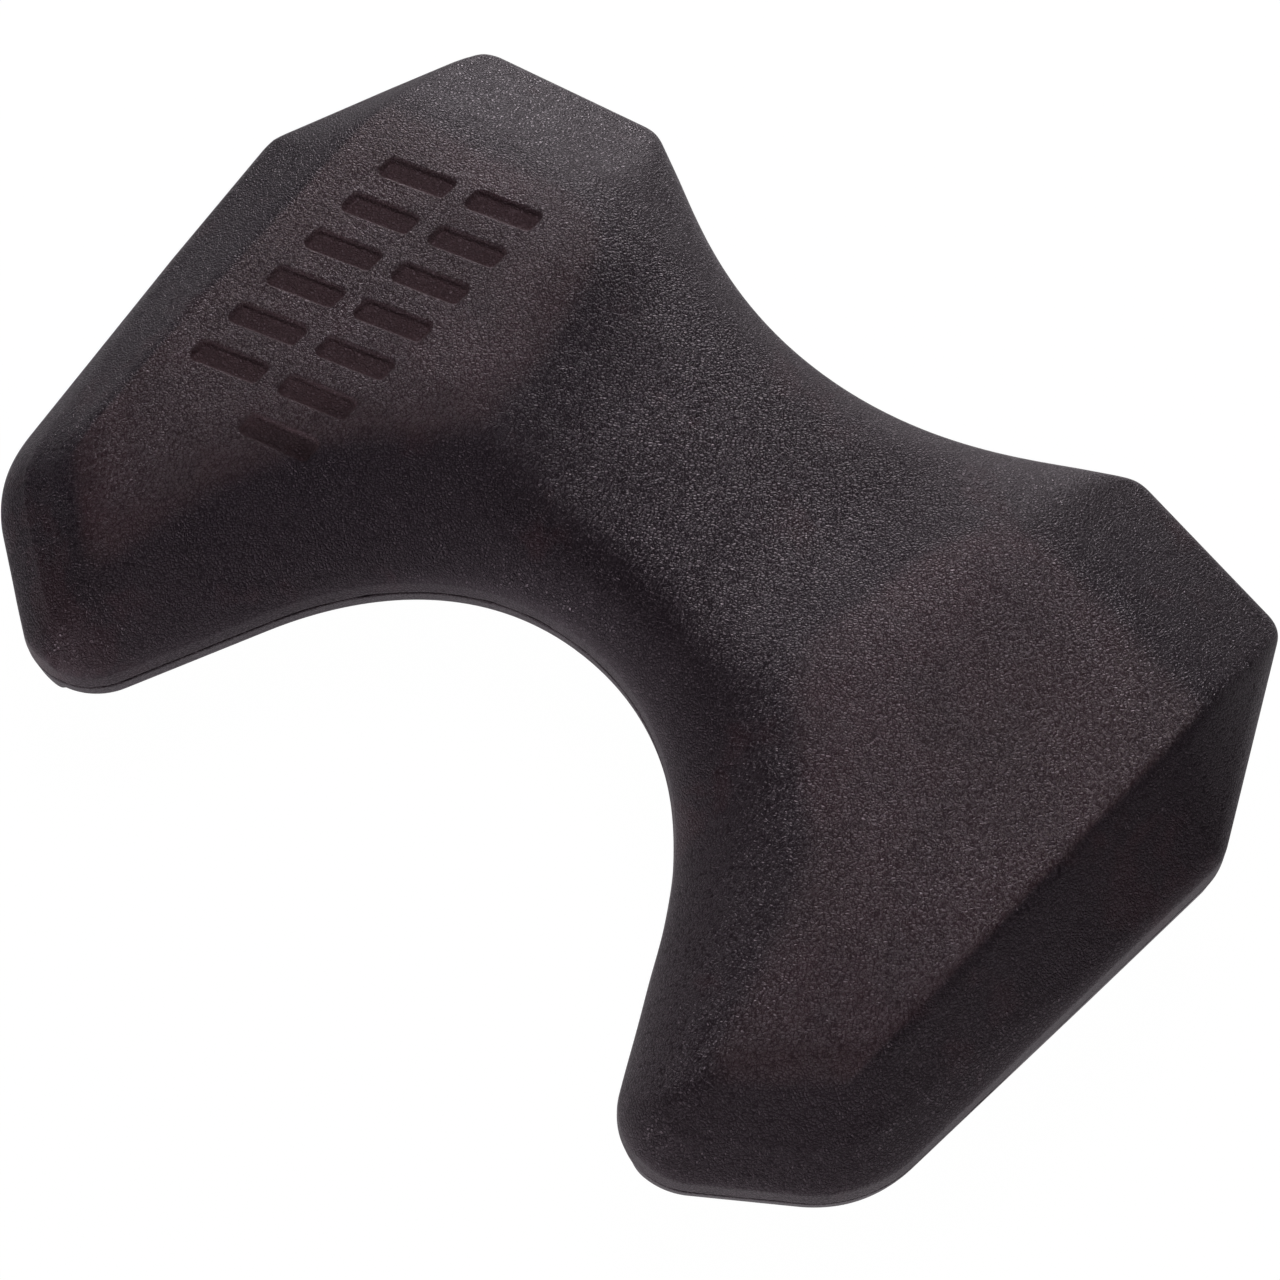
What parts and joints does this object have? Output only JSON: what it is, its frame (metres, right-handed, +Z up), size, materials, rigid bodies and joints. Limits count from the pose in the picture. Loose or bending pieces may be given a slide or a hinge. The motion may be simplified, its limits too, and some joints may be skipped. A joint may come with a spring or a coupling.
{
  "type": "pull buoy",
  "caption": "Moulded foam swimming leg float: broad bevelled lobes either side of a lower waist, a deep thigh arch in front and a shallow notch behind, made as bonded halves.",
  "frame": {"origin": "middle of the bounding box in plan, on the plane the lower lobes rest on; the bond plane between the halves is 26 mm above it", "axes": "+X across the lobes to the plain lobe's side, +Y from the deep thigh arch towards the shallow back notch, +Z up, out of the face with the recessed bars"},
  "size_m": [0.2806, 0.1931, 0.052],
  "materials": {
    "eva_foam_upper": "matt, moulded leather grain, near black with a faint plum-brown cast",
    "eva_foam_lower": "matt, moulded leather grain, near black with a faint plum-brown cast",
    "contact_adhesive": "dark, thin, slightly glossy film"
  },
  "bodies": {
    "root": {"upper_float_half": "eva_foam_upper", "lower_float_half": "eva_foam_lower", "bond_line_adhesive": "contact_adhesive"}
  },
  "joints": []
}
